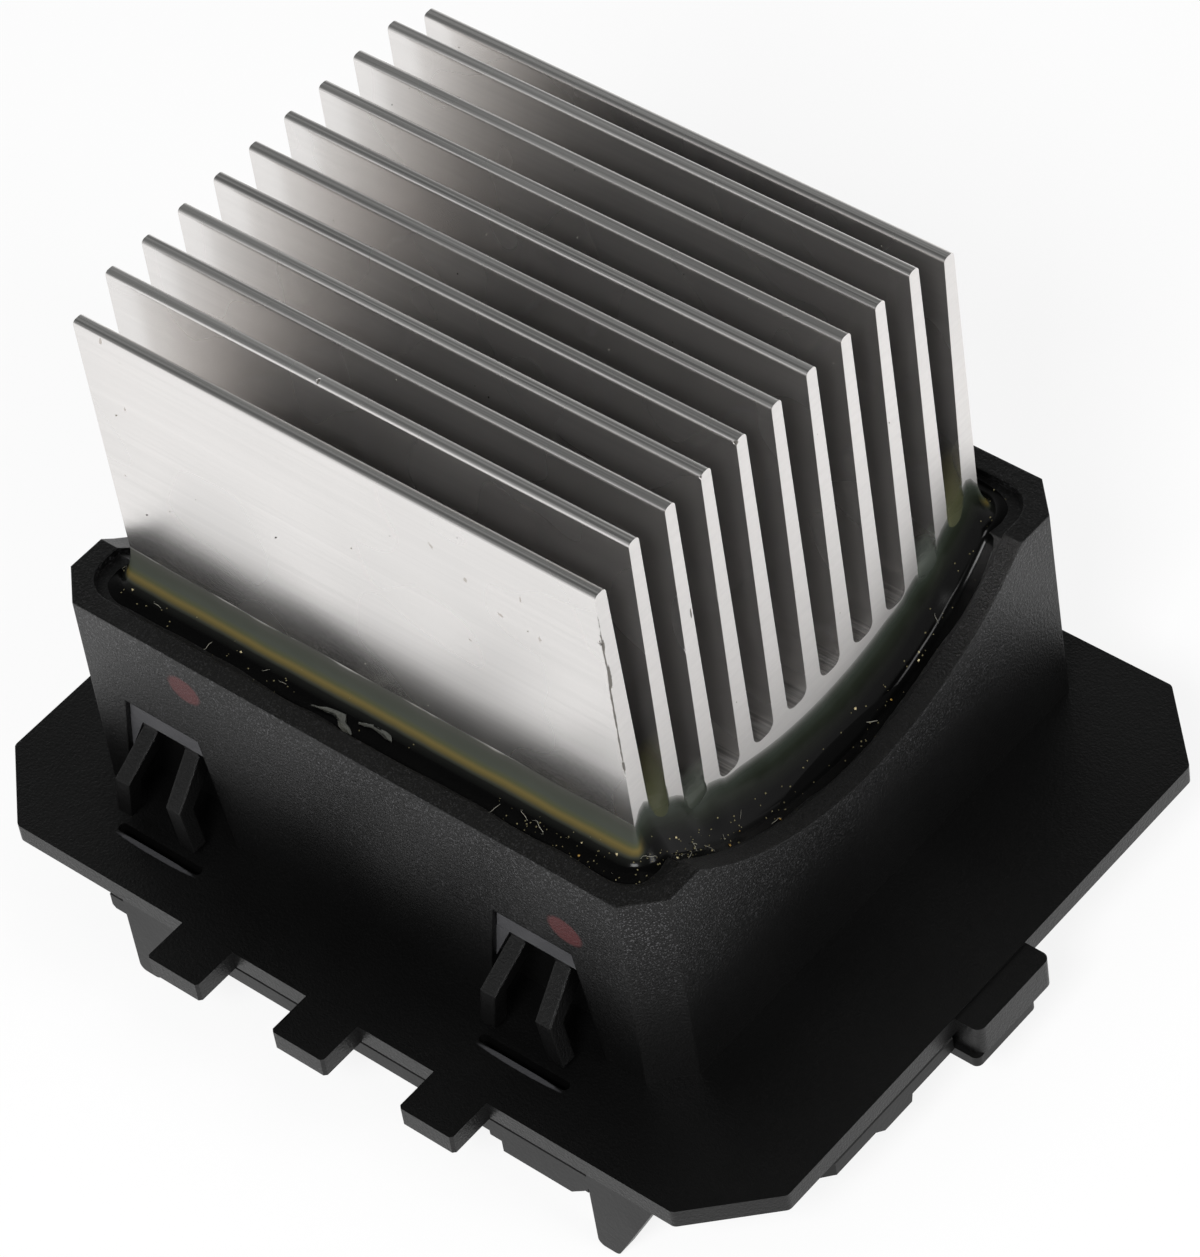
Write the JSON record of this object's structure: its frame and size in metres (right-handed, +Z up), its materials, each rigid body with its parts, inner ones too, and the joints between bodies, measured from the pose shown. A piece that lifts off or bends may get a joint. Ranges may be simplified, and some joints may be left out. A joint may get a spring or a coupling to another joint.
{
  "type": "blower motor resistor",
  "caption": "Finned aluminium heat sink set in a black plastic flanged box, with latches, edge tabs and downward sockets; controls a car heater fan's speed.",
  "frame": {"origin": "middle of the underside of the overall bounding box, on the plane the socket mouths rest on", "axes": "+X along the fins towards the end with the side box, +Y across the fins away from the tabbed edge, +Z up from the sockets to the fin tops"},
  "size_m": [0.1018, 0.083, 0.074],
  "materials": {
    "extruded_aluminium": "mill finish, satin with fine extrusion lines",
    "black_nylon": "lightly textured matt",
    "clear_sealant": "glossy, translucent grey green to amber",
    "green_laminate": "satin solder mask",
    "spring_steel": "satin",
    "plated_steel": "zinc plated",
    "black_rubber": "matt",
    "can_aluminium": "satin",
    "shunt_alloy": "satin copper alloy",
    "moulded_epoxy": "matt",
    "dark_ceramic": "satin",
    "tan_ceramic": "satin",
    "tinned_copper": "tinned, satin",
    "grey_silicone": "matt",
    "tinned_brass": "tinned, satin"
  },
  "bodies": {
    "root": {"heat_sink": "extruded_aluminium", "housing": "black_nylon", "base_cover": "black_nylon", "sealant": "clear_sealant", "circuit_board": "green_laminate", "clamp_bar": "spring_steel", "clamp_screw": "plated_steel", "capacitor_bung": "black_rubber", "capacitor_can": "can_aluminium", "shunt": "shunt_alloy", "control_chip": "moulded_epoxy", "surge_diode": "moulded_epoxy", "board_screw_1": "plated_steel", "sink_screw_1": "plated_steel", "chip_resistor_1": "dark_ceramic", "board_screw_2": "plated_steel", "sink_screw_2": "plated_steel", "chip_resistor_2": "dark_ceramic", "board_screw_3": "plated_steel", "sink_screw_3": "plated_steel", "chip_resistor_3": "dark_ceramic", "board_screw_4": "plated_steel", "sink_screw_4": "plated_steel", "chip_resistor_4": "dark_ceramic", "ceramic_capacitor_1": "tan_ceramic", "ceramic_capacitor_2": "tan_ceramic", "ceramic_capacitor_3": "tan_ceramic", "transistor_1_frame": "tinned_copper", "transistor_1_body": "moulded_epoxy", "thermal_pad_1": "grey_silicone", "transistor_2_frame": "tinned_copper", "transistor_2_body": "moulded_epoxy", "thermal_pad_2": "grey_silicone", "blade_motor_1": "tinned_brass", "blade_motor_2": "tinned_brass", "blade_supply": "tinned_brass", "blade_ground": "tinned_brass", "pin_control": "tinned_brass", "pin_monitor": "tinned_brass"}
  },
  "joints": []
}
